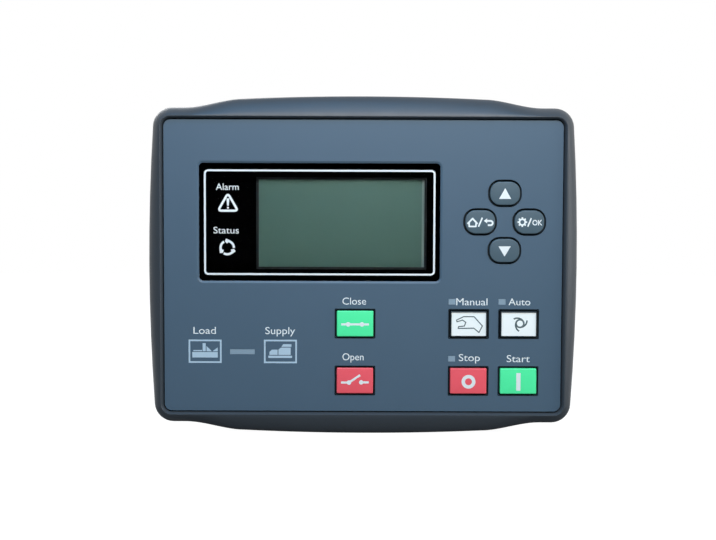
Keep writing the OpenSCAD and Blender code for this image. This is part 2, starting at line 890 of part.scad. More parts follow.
// A pan-head screw along Y; way is 1 when its tip points to the back
module pan_screw(head_y, length, d, head_d, head_h, way) {
    y0 = min(head_y, head_y + way * length);
    y1 = max(head_y, head_y + way * length);
    h0 = min(head_y, head_y - way * head_h);
    h1 = max(head_y, head_y - way * head_h);
    slot = 0.8;
    slot_l = head_d * slot_share;
    difference() {
        union() {
            bar(y0 - (way < 0 ? 0 : eps), y1 + (way < 0 ? eps : 0), d);
            bar(h0, h1, head_d);
        }
        translate([0, head_y - way * head_h, 0]) {
            cube([slot_l, head_h, slot], center = true);
            cube([slot, head_h, slot_l], center = true);
        }
    }
}

module board_screws() {
    reach = board_t + spacer_l * thread_share;
    color("#c4c6c8")
        for (p = SPACERS)
            at(p) {
                pan_screw(board_front_y, reach, board_screw_d, board_head_d, board_head_h, 1);
                pan_screw(io_back_y, reach, board_screw_d, board_head_d, board_head_h, -1);
            }
}

module io_board() {
    color("#2f6b45")
        difference() {
            slab(io_front_y, io_back_y)
                board_outline();
            screw_holes(CASE_SCREWS, io_front_y, io_back_y, column_d + 4 * slack);
            screw_holes(SPACERS, io_front_y, io_back_y, board_screw_d + slack);
            for (row = ROWS)
                for_ways(row)
                    bar(io_front_y - eps, io_back_y + eps, pin_w * sqrt(2) + fit);
        }
}

// Children once for each way of a terminal row, at the row's own height
module for_ways(row) {
    for (i = [0 : row[0] - 1])
        at([row[2] + (i - (row[0] - 1) / 2) * row[1], row[3] * row_z])
            children();
}

module relays() {
    relay_w = 19.2;
    relay_d = 15.6;
    relay_h = 15.4;
    relay_pitch = 21;
    relay_x = -72;
    color("#23252a")
        for (i = [0 : relay_count - 1])
            chip(relay_x + i * relay_pitch, low_parts_z, relay_w, relay_d, io_back_y, io_back_y + relay_h);
}

module capacitors() {
    can_d = 10;
    can_h = 16;
    can_pitch = 13;
    can_x = 36;
    color("#20303f")
        for (i = [0 : phases - 1])
            at([can_x + i * can_pitch, low_parts_z])
                bar(io_back_y, io_back_y + can_h, can_d);
}

// Three ring-core measuring transformers, each potted with a hole for its lead
module current_transformers() {
    ring_d = 18;
    hole_d = 6;
    ring_t = 10;
    ring_pitch = 22;
    ring_x = -70;
    color("#2b3f8c")
        for (i = [0 : phases - 1])
            at([ring_x + i * ring_pitch, high_parts_z])
                difference() {
                    bar(io_back_y, io_back_y + ring_t, ring_d);
                    bar(io_back_y - eps, io_back_y + ring_t + eps, hole_d);
                }
}

cell_d = 20;
cell_t = 3.2;
cell_floor = 1;
cell_x = 14;
CELL = [cell_x, high_parts_z];

module cell_holder() {
    rim_t = 1.4;
    color("#2a2c2f")
        at(CELL)
            difference() {
                bar(io_back_y, io_back_y + cell_floor + cell_t, cell_d + 2 * fit + 2 * rim_t);
                bar(io_back_y + cell_floor, io_back_y + cell_floor + cell_t + eps, cell_d + 2 * fit);
            }
}

module coin_cell() {
    color("#c9cbcd")
        at(CELL)
            bar(io_back_y + cell_floor, io_back_y + cell_floor + cell_t, cell_d);
}

usb_x = 62;
usb_z = 20;
USB = [usb_x, usb_z];
usb_w = 12;
usb_h = 10.8;

// A square data socket that reaches through the rear wall, with its tongue inside
module usb_socket() {
    shell_t = 1.2;
    depth = 10;
    tongue_w = 5.6;
    tongue_h = 3.2;
    tongue_back = 1.5;
    color("#d5d7d9")
        at(USB) {
            difference() {
                slab(io_back_y, body_depth)
                    square([usb_w, usb_h], center = true);
                slab(body_depth - depth, body_depth + eps)
                    square([usb_w - 2 * shell_t, usb_h - 2 * shell_t], center = true);
            }
            slab(body_depth - depth - eps, body_depth - tongue_back)
                square([tongue_w, tongue_h], center = true);
        }
}

module rear_housing() {
    color("#2c2e31")
        difference() {
            union() {
                difference() {
                    slab(flange_y, step_y)
                        round_rect(housing_w, housing_h, housing_r);
                    slab(flange_y - eps, step_in_y)
                        round_rect(throat_w, throat_h, throat_r);
                    slab(step_in_y - eps, step_y + eps)
                        round_rect(throat_w, hump_h - 2 * wall, throat_r);
                }
                for (p = CASE_SCREWS)
                    at(p)
                        bar(board_back_y, step_in_y + eps, column_d);
            }
            screw_holes(CASE_SCREWS, board_back_y, step_y, case_screw_d + slack);
            for (row = ROWS)
                at([row[2], row[3] * row_z])
                    slab(step_in_y - eps, step_y + eps)
                        square([header_w(row) + 2 * slack, header_d + 2 * slack], center = true);
            clip_slots();
        }
}

// The raised middle of the back, snapped into the housing
module rear_cover() {
    color("#2c2e31")
        union() {
            difference() {
                union() {
                    slab(step_y, body_depth)
                        round_rect(housing_w, hump_h, housing_r);
                    slab(step_y - lip_l, step_y + eps)
                        round_rect(cover_w, cover_h, throat_r);
                }
                slab(step_y - lip_l - eps, body_depth - rear_wall)
                    round_rect(cover_w - 2 * lip_t, cover_h - 2 * lip_t, throat_r);
                slab(step_y + lip_t, body_depth - rear_wall)
                    round_rect(throat_w, hump_h - 2 * wall, throat_r);
                at(USB)
                    slab(body_depth - rear_wall - eps, body_depth + eps)
                        square([usb_w + 2 * slack, usb_h + 2 * slack], center = true);
                vents();
            }
            snap_hooks();
        }
}

module snap_hooks() {
    hook_w = 8;
    hook_x = 45;
    barb = 0.7;
    barb_l = 1.1;
    hook_y = step_in_y - fit - barb_l;
    for (sx = [-1, 1], sz = [-1, 1]) {
        at([sx * hook_x, sz * (cover_h - lip_t) / 2])
            slab(hook_y, step_y)
                square([hook_w, lip_t], center = true);
        at([sx * hook_x, sz * (cover_h + barb - lip_t) / 2])
            slab(hook_y, hook_y + barb_l)
                square([hook_w, lip_t + barb], center = true);
    }
}

module vents() {
    count = 8;
    vent_x = 30;
    vent_up = 24;
    for (side = [-1, 1], i = [0 : count - 1])
        at([side * vent_x + (i - (count - 1) / 2) * vent_pitch, vent_up - hump_h / 2])
            slab(body_depth - rear_wall - eps, body_depth + eps)
                round_rect(vent_w, vent_l, vent_w / 2 - eps);
}

// T-shaped recesses in the side walls that the panel's fixing clips hook into
module clip_slots() {
    clip_w = 5;
    neck_h = 5;
    neck_l = 4;
    clip_y = 4;
    clip_z = 40;
    for (sx = [-1, 1], sz = [-1, 1])
        translate([sx * (housing_w / 2 - clip_d / 2), clip_y, sz * clip_z]) {
            translate([0, clip_w / 2, 0])
                cube([clip_d + eps, clip_w, clip_h], center = true);
            translate([0, clip_w + neck_l / 2 - eps, 0])
                cube([clip_d + eps, neck_l, neck_h], center = true);
        }
}

module housing_screws() {
    bite = 0.5;
    reach = step_y - pocket_y - slack - bite;
    color("#3a3c40")
        for (p = CASE_SCREWS)
            at(p)
                pan_screw(step_y, reach, case_screw_d, case_head_d, case_head_h, -1);
}

function header_w(row) = row[0] * row[1] + 2 * header_wall;

// A terminal socket on the rear board, open to the back
module terminal_socket(row) {
    color("#3f8f57")
        difference() {
            at([row[2], row[3] * row_z])
                difference() {
                    slab(io_back_y, header_top_y)
                        square([header_w(row), header_d], center = true);
                    slab(header_floor_y, header_top_y + eps)
                        square([header_w(row) - 2 * header_wall, header_d - 2 * header_wall], center = true);
                }
            for_ways(row)
                slab(io_back_y - eps, header_floor_y + eps)
                    square([pin_w, pin_w], center = true);
        }
}

module socket_power() {
    terminal_socket(POWER);
}

module socket_inputs() {
    terminal_socket(INPUTS);
}

module socket_voltage() {
    terminal_socket(VOLTAGE);
}

module socket_current() {
    terminal_socket(CURRENT);
}

module socket_sensors() {
    terminal_socket(SENSORS);
}

// A plug: tongue in the socket, body behind it, wire mouths at the back, screws on its outer side
plug_in = 4.3;
wire_w = 3.2;
wire_h = 3.6;
wire_l = 7.5;
screw_hole_l = 6;

module terminal_plug(row) {
    s = row[3];
    w = row[0] * row[1] - 2 * fit;
    tongue_h = header_d - 2 * header_wall - 2 * fit;
    color("#4aa565")
        difference() {
            union() {
                at([row[2], s * row_z])
                    slab(header_floor_y + slack, plug_y + eps)
                        square([w, tongue_h], center = true);
                at([row[2], s * (row_z - plug_in + plug_h / 2)])
                    slab(plug_y, plug_back_y)
                        square([w, plug_h], center = true);
            }
            for_ways(row) {
                slab(header_floor_y, plug_y + slack)
                    square([pin_w + 4 * fit, pin_w + 4 * fit], center = true);
                slab(plug_back_y - wire_l, plug_back_y + eps)
                    square([wire_w, wire_h], center = true);
                translate([0, term_screw_y, s * (plug_h - plug_in - screw_hole_l / 2)])
                    cylinder(h = screw_hole_l + eps, d = term_screw_d + 2 * fit, center = true);
            }
        }
}

module plug_power() {
    terminal_plug(POWER);
}

module plug_inputs() {
    terminal_plug(INPUTS);
}

module plug_voltage() {
    terminal_plug(VOLTAGE);
}

module plug_current() {
    terminal_plug(CURRENT);
}

module plug_sensors() {
    terminal_plug(SENSORS);
}

module terminal_pins() {
    tail = 1.5;
    color("#d6d2c0")
        for (row = ROWS)
            for_ways(row)
                slab(io_front_y - tail, plug_y)
                    square([pin_w, pin_w], center = true);
}

module terminal_screws() {
    sunk = 0.6;
    slot = 0.7;
    length = screw_hole_l - sunk;
    color("#c8cacc")
        for (row = ROWS)
            for_ways(row)
                translate([0, term_screw_y, row[3] * (plug_h - plug_in - sunk - length / 2)])
                    difference() {
                        cylinder(h = length, d = term_screw_d, center = true);
                        translate([0, 0, row[3] * length / 2])
                            cube([term_screw_d + eps, slot, 2 * slot], center = true);
                    }
}

front_bezel();
front_panel();
panel_gasket();
display_window();
window_tape();
lcd_seal();
lcd_frame();
lcd_glass();
lcd_backlight();
lcd_connector();
key_up();
key_down();
key_back();
key_ok();
key_close();
key_open();
key_manual();
key_auto();
key_stop();
key_start();
keypad_mat();
lamp_manual();
lamp_auto();
lamp_stop();
lamp_link();
guide_alarm();
guide_status();
indicator_leds();
display_board();
processor();
memory_chips();
link_header();
link_socket();
board_spacers();
board_screws();
io_board();
relays();
capacitors();
current_transformers();
cell_holder();
coin_cell();
usb_socket();
rear_housing();
rear_cover();
housing_screws();
socket_power();
socket_inputs();
socket_voltage();
socket_current();
socket_sensors();
plug_power();
plug_inputs();
plug_voltage();
plug_current();
plug_sensors();
terminal_pins();
terminal_screws();
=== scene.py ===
import json
import math

import bmesh
import bpy
from mathutils import Matrix, Vector


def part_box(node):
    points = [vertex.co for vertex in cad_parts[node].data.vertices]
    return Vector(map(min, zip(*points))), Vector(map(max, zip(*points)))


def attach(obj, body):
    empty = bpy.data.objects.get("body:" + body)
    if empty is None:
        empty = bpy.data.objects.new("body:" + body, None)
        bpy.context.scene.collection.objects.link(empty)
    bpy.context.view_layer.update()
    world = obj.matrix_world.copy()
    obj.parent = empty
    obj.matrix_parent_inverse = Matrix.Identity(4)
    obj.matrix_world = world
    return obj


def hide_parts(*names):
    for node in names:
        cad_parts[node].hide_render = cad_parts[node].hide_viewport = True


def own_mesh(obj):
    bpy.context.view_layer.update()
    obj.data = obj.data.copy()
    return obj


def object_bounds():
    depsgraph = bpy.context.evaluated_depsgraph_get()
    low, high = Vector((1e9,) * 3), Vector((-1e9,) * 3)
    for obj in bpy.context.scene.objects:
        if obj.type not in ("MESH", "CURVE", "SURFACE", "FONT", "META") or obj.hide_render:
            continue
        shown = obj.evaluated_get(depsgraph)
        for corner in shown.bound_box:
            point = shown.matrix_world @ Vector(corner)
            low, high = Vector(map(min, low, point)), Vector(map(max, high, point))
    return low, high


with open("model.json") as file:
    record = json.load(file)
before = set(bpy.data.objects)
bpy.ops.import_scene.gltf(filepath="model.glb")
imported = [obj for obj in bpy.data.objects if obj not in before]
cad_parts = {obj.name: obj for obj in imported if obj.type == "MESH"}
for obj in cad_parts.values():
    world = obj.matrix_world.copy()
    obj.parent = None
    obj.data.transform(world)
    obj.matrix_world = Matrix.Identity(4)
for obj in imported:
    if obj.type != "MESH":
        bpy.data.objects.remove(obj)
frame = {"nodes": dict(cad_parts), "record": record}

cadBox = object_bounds()
mm = 0.001
mergeWithin = 0.001
scene = bpy.context.scene
cadNodes = frame["nodes"]
slotOfNode = {part["node"]: part["material_slot"] for part in frame["record"]["subparts"]}
print("frame loaded with", len(cadNodes), "nodes")


# Colours are written as they look on the screen, 0 to 255, and the sRGB curve turns them into light
def screenColour(red, green, blue):
    def channel(value):
        value = value / 255
        return value / 12.92 if value <= 0.04045 else ((value + 0.055) / 1.055) ** 2.4
    return (channel(red), channel(green), channel(blue), 1.0)


def addSocket(group, label, side):
    kind = "NodeSocketColor" if label == "Colour" else "NodeSocketFloat"
    group.interface.new_socket(label, in_out=side, socket_type=kind)


def startGroup(name, inputs):
    group = bpy.data.node_groups.new(name, "ShaderNodeTree")
    for label in inputs:
        addSocket(group, label, "INPUT")
    for label in ("Colour", "Roughness", "Height"):
        addSocket(group, label, "OUTPUT")
    return group, group.nodes.new("NodeGroupInput"), group.nodes.new("NodeGroupOutput")


def addMath(tree, operation, first, second):
    node = tree.nodes.new("ShaderNodeMath")
    node.operation = operation
    for socket, value in zip(node.inputs, (first, second)):
        if isinstance(value, (int, float)):
            socket.default_value = value
        else:
            tree.links.new(value, socket)
    return node.outputs[0]


def addNoise(tree, vector, scale, detail):
    node = tree.nodes.new("ShaderNodeTexNoise")
    node.inputs["Detail"].default_value = detail
    tree.links.new(vector, node.inputs["Vector"])
    if isinstance(scale, (int, float)):
        node.inputs["Scale"].default_value = scale
    else:
        tree.links.new(scale, node.inputs["Scale"])
    return node.outputs[0]


def addSwing(tree, noise, amount):
    # noise lies between 0 and 1, so a half is taken off to swing both ways
    return addMath(tree, "MULTIPLY", addMath(tree, "SUBTRACT", noise, 0.5), amount)


def endGroup(group, entry, leave, shade, gloss, height):
    tint = group.nodes.new("ShaderNodeHueSaturation")
    group.links.new(entry.outputs["Colour"], tint.inputs["Color"])
    group.links.new(shade, tint.inputs["Value"])
    sheen = addSwing(group, gloss, entry.outputs["Spread"])
    group.links.new(tint.outputs[0], leave.inputs["Colour"])
    group.links.new(addMath(group, "ADD", sheen, entry.outputs["Rough"]), leave.inputs["Roughness"])
    group.links.new(height, leave.inputs["Height"])
    return group


# Slow clouds of tone and gloss with a fine moulded grain on top
mouldedLook = {"cloudScale": 26, "cloudDetail": 3, "patchScale": 90, "patchDetail": 2, "grainDetail": 2,
               "speckShare": 0.5}


def makeMouldedSkin():
    group, entry, leave = startGroup("mouldedSkin", ("Colour", "Tone", "Rough", "Spread", "Grain"))
    place = group.nodes.new("ShaderNodeTexCoord").outputs["Object"]
    cloud = addNoise(group, place, mouldedLook["cloudScale"], mouldedLook["cloudDetail"])
    patch = addNoise(group, place, mouldedLook["patchScale"], mouldedLook["patchDetail"])
    grain = addNoise(group, place, entry.outputs["Grain"], mouldedLook["grainDetail"])
    lift = addSwing(group, cloud, entry.outputs["Tone"])
    speck = addSwing(group, grain, entry.outputs["Tone"])
    speck = addMath(group, "MULTIPLY", speck, mouldedLook["speckShare"])
    shade = addMath(group, "ADD", addMath(group, "ADD", lift, speck), 1)
    return endGroup(group, entry, leave, shade, patch, grain)


# Fine lines along X, as drawn or plated sheet metal has
drawnLook = {"stretch": (0.08, 1, 1), "lineScale": 2600, "lineDetail": 3, "cloudScale": 140, "cloudDetail": 2,
             "toneSpread": 0.16, "toneLow": 0.92}


def makeDrawnMetal():
    group, entry, leave = startGroup("drawnMetal", ("Colour", "Rough", "Spread"))
    place = group.nodes.new("ShaderNodeTexCoord").outputs["Object"]
    stretch = group.nodes.new("ShaderNodeMapping")
    stretch.inputs["Scale"].default_value = drawnLook["stretch"]
    group.links.new(place, stretch.inputs["Vector"])
    lines = addNoise(group, stretch.outputs[0], drawnLook["lineScale"], drawnLook["lineDetail"])
    cloud = addNoise(group, place, drawnLook["cloudScale"], drawnLook["cloudDetail"])
    tone = addMath(group, "MULTIPLY", cloud, drawnLook["toneSpread"])
    shade = addMath(group, "ADD", tone, drawnLook["toneLow"])
    return endGroup(group, entry, leave, shade, lines, lines)


mouldedSkin = makeMouldedSkin()
drawnMetal = makeDrawnMetal()


def startMaterial(name, group, values, depth, strength):
    material = bpy.data.materials.new(name)
    material.use_nodes = True
    tree = material.node_tree
    shader = tree.nodes["Principled BSDF"]
    skin = tree.nodes.new("ShaderNodeGroup")
    skin.node_tree = group
    for label, value in values.items():
        skin.inputs[label].default_value = value
    bump = tree.nodes.new("ShaderNodeBump")
    bump.inputs["Strength"].default_value = strength
    bump.inputs["Distance"].default_value = depth * mm
    tree.links.new(skin.outputs["Height"], bump.inputs["Height"])
    tree.links.new(skin.outputs["Colour"], shader.inputs["Base Color"])
    tree.links.new(skin.outputs["Roughness"], shader.inputs["Roughness"])
    tree.links.new(bump.outputs["Normal"], shader.inputs["Normal"])
    return material, shader


def mouldedPlastic(name, colour, tone=0.08, rough=0.5, spread=0.1, grain=2000, depth=0.02,
                   strength=0.4, shine=0.5):
    values = {"Colour": screenColour(*colour), "Tone": tone, "Rough": rough, "Spread": spread, "Grain": grain}
    material, shader = startMaterial(name, mouldedSkin, values, depth, strength)
    shader.inputs["Specular IOR Level"].default_value = shine
    return material


def platedMetal(name, colour, rough, spread=0.2, depth=0.01, strength=0.25):
    values = {"Colour": screenColour(*colour), "Rough": rough, "Spread": spread}
    material, shader = startMaterial(name, drawnMetal, values, depth, strength)
    shader.inputs["Metallic"].default_value = 1.0
    return material


# The clear window's colour is written as light, 0 to 1
windowFinish = {"colour": (0.96, 0.98, 0.98, 1), "tone": 0.01, "rough": 0.02, "spread": 0.03, "grain": 60,
                "depth": 0.002, "strength": 0.1, "index": 1.16}


def clearWindow(name):
    labels = ("colour", "tone", "rough", "spread", "grain")
    values = {label.capitalize(): windowFinish[label] for label in labels}
    material, shader = startMaterial(name, mouldedSkin, values, windowFinish["depth"],
                                     windowFinish["strength"])
    shader.inputs["Transmission Weight"].default_value = 1.0
    shader.inputs["IOR"].default_value = windowFinish["index"]
    return material


plasticFinishes = {
    "frame": dict(colour=(62, 68, 73), tone=0.10, rough=0.40, spread=0.12, grain=1500, depth=0.03),
    "panel": dict(colour=(76, 98, 114), tone=0.05, rough=0.44, spread=0.08, grain=2400, depth=0.012),
    "rubber": dict(colour=(36, 37, 39), tone=0.15, rough=0.8, spread=0.1, grain=900, depth=0.03),
    "tape": dict(colour=(214, 208, 190), tone=0.06, rough=0.7, grain=700),
    "dark_plastic": dict(colour=(20, 22, 24), tone=0.12, rough=0.45, grain=1500),
    "lcd": dict(colour=(91, 118, 105), tone=0.03, rough=0.5, spread=0.05, grain=600, depth=0.002, shine=0.1),
    "guide": dict(colour=(226, 231, 232), tone=0.04, rough=0.25, grain=800, depth=0.005),
    "contact_strip": dict(colour=(196, 120, 138), tone=0.1, rough=0.7, grain=900),
    "key_grey": dict(colour=(75, 95, 104), tone=0.06, rough=0.46, grain=2200, depth=0.012),
    "key_green": dict(colour=(83, 248, 164), tone=0.05, rough=0.4, grain=2200, depth=0.008),
    "key_red": dict(colour=(248, 92, 102), tone=0.05, rough=0.4, grain=2200, depth=0.008),
    "key_white": dict(colour=(250, 254, 248), tone=0.03, rough=0.42, grain=2200, depth=0.008),
    "lamp": dict(colour=(140, 160, 172), tone=0.05, rough=0.35, grain=1200, depth=0.006),
    "board": dict(colour=(32, 98, 58), tone=0.2, rough=0.4, grain=500, depth=0.02),
    "blue_plastic": dict(colour=(44, 66, 142), tone=0.1, rough=0.35, grain=900),
    "housing": dict(colour=(52, 54, 57), tone=0.12, rough=0.6, spread=0.12, grain=1100, depth=0.05,
                    strength=0.5),
    "socket": dict(colour=(58, 138, 84), tone=0.08, rough=0.45, grain=1400),
    "plug": dict(colour=(72, 164, 100), tone=0.08, rough=0.45, grain=1400),
}
metalFinishes = {
    "brass": dict(colour=(206, 170, 92), rough=0.3),
    "steel": dict(colour=(204, 206, 208), rough=0.28),
    "dark_steel": dict(colour=(86, 88, 92), rough=0.38),
}
printFinishes = {
    "whiteInk": dict(colour=(236, 240, 236), tone=0.03, rough=0.5, grain=1800, depth=0.004),
    "paleInk": dict(colour=(182, 204, 216), tone=0.05, rough=0.5, grain=1800, depth=0.004),
    "blackInk": dict(colour=(2, 2, 3), tone=0.1, rough=0.5, grain=1800, depth=0.004, shine=0.0),
    # paintedGapShade is painted shade: the dark ring round each block key, standing in for the shadow in the
    # gap between key and panel
    "paintedGapShade": dict(colour=(8, 22, 28), tone=0.1, rough=0.55, grain=1800, depth=0.004, shine=0.2),
    "darkInk": dict(colour=(86, 102, 102), tone=0.06, rough=0.5, grain=1800, depth=0.004),
    # keySkirtShade is painted shade: a dark finish on the key flanges, and on the white keys' sides and rims,
    # standing in for the shade in the gap round each key
    "keySkirtShade": dict(colour=(42, 52, 56), tone=0.08, rough=0.5, grain=2000, depth=0.01),
    "bareGlass": dict(colour=(128, 146, 136), tone=0.05, rough=0.3, grain=900, depth=0.004),
}
finishes = {slot: mouldedPlastic(slot, **values) for slot, values in plasticFinishes.items()}
finishes.update({slot: platedMetal(slot, **values) for slot, values in metalFinishes.items()})
finishes["window"] = clearWindow("window")
finishes.update({name: mouldedPlastic(name, **values) for name, values in printFinishes.items()})

for nodeName, node in cadNodes.items():
    node.data.materials.clear()
    node.data.materials.append(finishes[slotOfNode[nodeName]])
print("finishes made:", len(finishes))


def middleOf(nodeName):
    low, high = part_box(nodeName)
    return (low + high) / 2


def cadMesh(nodeName):
    bm = bmesh.new()
    bm.from_mesh(cadNodes[nodeName].data)
    bmesh.ops.remove_doubles(bm, verts=bm.verts, dist=mergeWithin * mm)
    return bm


def roundOff(bm, parts, size, steps, kind="EDGES", clamp=False):
    return bmesh.ops.bevel(bm, geom=parts, offset=size * mm, offset_type="OFFSET", clamp_overlap=clamp,
                           segments=steps, profile=0.5, affect=kind, material=-1)


def finishPiece(bm, name, body, materials, replaced=None, sharpAngle=32, flatOver=None):
    for face in bm.faces:
        face.smooth = True
    for edge in bm.edges:
        edge.smooth = edge.calc_face_angle(0) < math.radians(sharpAngle)
        if flatOver and any(face.calc_area() > flatOver * mm * mm for face in edge.link_faces):
            edge.smooth = False  # broad flat faces keep their own shading beside a bevel
    mesh = bpy.data.meshes.new(name)
    bm.to_mesh(mesh)
    bm.free()
    if "custom_normal" in mesh.attributes:
        mesh.attributes.remove(mesh.attributes["custom_normal"])
    for finish in materials:
        mesh.materials.append(finishes[finish])
    piece = bpy.data.objects.new(name, mesh)
    scene.collection.objects.link(piece)
    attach(piece, body)
    if replaced:
        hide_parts(replaced)
    return piece


# Flat shapes are drawn in millimetres, x to the right and z up, facing the viewer at a given y
def frontMatrix(x, z, y, turn=0.0):
    return (Matrix.Translation((x * mm, y, z * mm)) @ Matrix.Rotation(math.pi / 2, 4, "X")
            @ Matrix.Rotation(turn, 4, "Z"))


def cornerPoints(left, bottom, right, top):
    return [(left, bottom), (right, bottom), (right, top), (left, top)]


def boxPoints(x, z, width, height):
    return cornerPoints(x - width / 2, z - height / 2, x + width / 2, z + height / 2)


def movePoints(points, x, z):
    return [(x + across, z + up) for across, up in points]


def drawBar(bm, start, end, width, y):
    run = Vector(end) - Vector(start)
    middle = (Vector(start) + Vector(end)) / 2
    place = frontMatrix(middle.x, middle.y, y, math.atan2(run.y, run.x))
    scale = Matrix.Diagonal((run.length * mm, width * mm, 1, 1))
    bmesh.ops.create_grid(bm, x_segments=1, y_segments=1, size=0.5, matrix=place @ scale)


def drawDisc(bm, x, z, radius, y, sides=36):
    made = bmesh.ops.create_circle(bm, cap_ends=True, segments=sides, radius=radius * mm,
                                   matrix=frontMatrix(x, z, y))
    return made["verts"][0].link_faces[0]


def drawLine(bm, points, width, y, closed=False, jointSides=16):
    # bars that meet in round joints
    ends = points[1:] + points[:1] if closed else points[1:]
    for start, end in zip(points, ends):
        drawBar(bm, start, end, width, y)
    for x, z in points if closed else points[1:-1]:
        drawDisc(bm, x, z, width / 2, y, jointSides)


def keepOutline(bm, face, width):
    bmesh.ops.inset_region(bm, faces=[face], thickness=width * mm, use_even_offset=True, use_boundary=True)
    bmesh.ops.delete(bm, geom=[face], context="FACES_ONLY")


def drawShape(bm, points, y, corner=0.0, steps=4, outline=0.0):
    corners = [bm.verts.new((x * mm, y, z * mm)) for x, z in points]
    face = bm.faces.new(corners)
    face.normal_update()
    if corner:
        face = roundOff(bm, corners, corner, steps, "VERTICES")["verts"][0].link_faces[0]
    if outline:
        keepOutline(bm, face, outline)


def drawArc(bm, x, z, radius, width, startAngle, sweep, y, steps=20):
    place = frontMatrix(x, z, y)
    ray = Vector((math.cos(startAngle), math.sin(startAngle), 0))
    ends = [bm.verts.new(place @ (ray * (radius + side * width / 2) * mm)) for side in (-1, 1)]
    bmesh.ops.spin(bm, geom=[bm.edges.new(ends)], cent=(x * mm, y, z * mm), axis=(0, -1, 0), dvec=(0, 0, 0),
                   angle=sweep, steps=steps, use_merge=False)


def wordMesh(text, weight, curveSteps=5):
    curve = bpy.data.curves.new("word", "FONT")
    curve.body = text
    curve.offset = weight
    curve.resolution_u = curveSteps
    holder = bpy.data.objects.new("word", curve)
    scene.collection.objects.link(holder)
    mesh = bpy.data.meshes.new_from_object(holder.evaluated_get(bpy.context.evaluated_depsgraph_get()))
    bpy.data.objects.remove(holder)
    bpy.data.curves.remove(curve)
    return mesh


def measureCapital():
    mesh = wordMesh("H", 0)
    height = max(v.co.y for v in mesh.vertices)
    bpy.data.meshes.remove(mesh)
    return height


capitalHeight = measureCapital()


def drawWord(bm, text, centreX, baseZ, width, capHeight, y, weight=0.0):
    mesh = wordMesh(text, weight)
    low = min(v.co.x for v in mesh.vertices)
    high = max(v.co.x for v in mesh.vertices)
    across = width / (high - low)
    up = capHeight / capitalHeight
    mesh.transform(Matrix.Translation((-(low + high) / 2, 0, 0)))
    mesh.transform(Matrix.Diagonal((across * mm, up * mm, 1, 1)))
    mesh.transform(frontMatrix(centreX, baseZ, y))
    bm.from_mesh(mesh)
    bpy.data.meshes.remove(mesh)


def liftShapes(bm, step):
    # each drawn shape stands a little further out, so that none lies in the plane of another
    waiting = set(bm.faces)
    count = 0
    while waiting:
        island = set()
        frontier = [waiting.pop()]
        while frontier:
            face = frontier.pop()
            island.update(face.verts)
            near = {other for corner in face.verts for other in corner.link_faces} & waiting
            waiting -= near
            frontier.extend(near)
        bmesh.ops.translate(bm, vec=(0, -count * step * mm, 0), verts=list(island))
        count += 1


def finishPrint(bm, name, body, finish, depth=0.02, step=0.0):
    # the drawn faces stay in front and the ink reaches back to what carries it
    if step:
        liftShapes(bm, step)
    bmesh.ops.recalc_face_normals(bm, faces=bm.faces)
    bmesh.ops.reverse_faces(bm, faces=[face for face in bm.faces if face.normal.y > 0])
    bmesh.ops.solidify(bm, geom=bm.faces[:], thickness=depth * mm)
    return finishPiece(bm, name, body, [finish])


# The frame keeps its solid's form, with its facets merged so that the light rolls over them
bezelSkin = {"node": "front_bezel", "sharpAngle": 34}
bm = cadMesh(bezelSkin["node"])
finishPiece(bm, "bezelSkin", "controller", ["frame"], bezelSkin["node"], bezelSkin["sharpAngle"])
print("frame skinned")

# The rear shells keep their form too, with their rear rims broken as a moulding's are
rearShell = {"nodes": {"rear_housing": "housingSkin", "rear_cover": "coverSkin"}, "flatWithin": 1.0,
             "rimSize": 0.5, "rimSteps": 3, "foldOver": 60, "sharpAngle": 40, "flatOver": 60}
for nodeName, skinName in rearShell["nodes"].items():
    bm = cadMesh(nodeName)
    bmesh.ops.dissolve_limit(bm, angle_limit=math.radians(rearShell["flatWithin"]), verts=bm.verts,
                             edges=bm.edges)
    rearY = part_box(nodeName)[1].y
    rim = [edge for edge in bm.edges if edge.is_manifold and edge.is_convex
           and edge.calc_face_angle(0) > math.radians(rearShell["foldOver"])
           and all(abs(v.co.y - rearY) < mergeWithin * mm for v in edge.verts)]
    roundOff(bm, rim, rearShell["rimSize"], rearShell["rimSteps"], clamp=True)
    finishPiece(bm, skinName, "controller", ["housing"], nodeName, rearShell["sharpAngle"],
                rearShell["flatOver"])
print("rear shells skinned")

# Key caps with rounded edges, in the place of the plain bevelled ones
ovalKeys = ("key_up", "key_down", "key_back", "key_ok")
blockKeys = ("key_close", "key_open", "key_manual", "key_auto", "key_stop", "key_start")
keyCap = {"flangeReach": 1.8, "flangeThick": 1.0, "rimSize": 0.5, "rimSteps": 4, "cornerSteps": 9,
          "blockCorner": 0.55, "ovalCorner": 5.0, "labelDrop": 0.4, "uprightOver": 1.0, "skirtSlack": 0.01,
          "labelIndex": 1, "skirtIndex": 2, "sharpAngle": 40}


def faceDepth(face):
    return face.calc_center_median().y


def pushFace(bm, face):
    # with its edges given too, the face moves out and leaves none behind
    made = bmesh.ops.extrude_face_region(bm, geom=[face] + face.edges[:])["geom"]
    moved = next(part for part in made if isinstance(part, bmesh.types.BMFace))
    return moved, moved.verts[:]


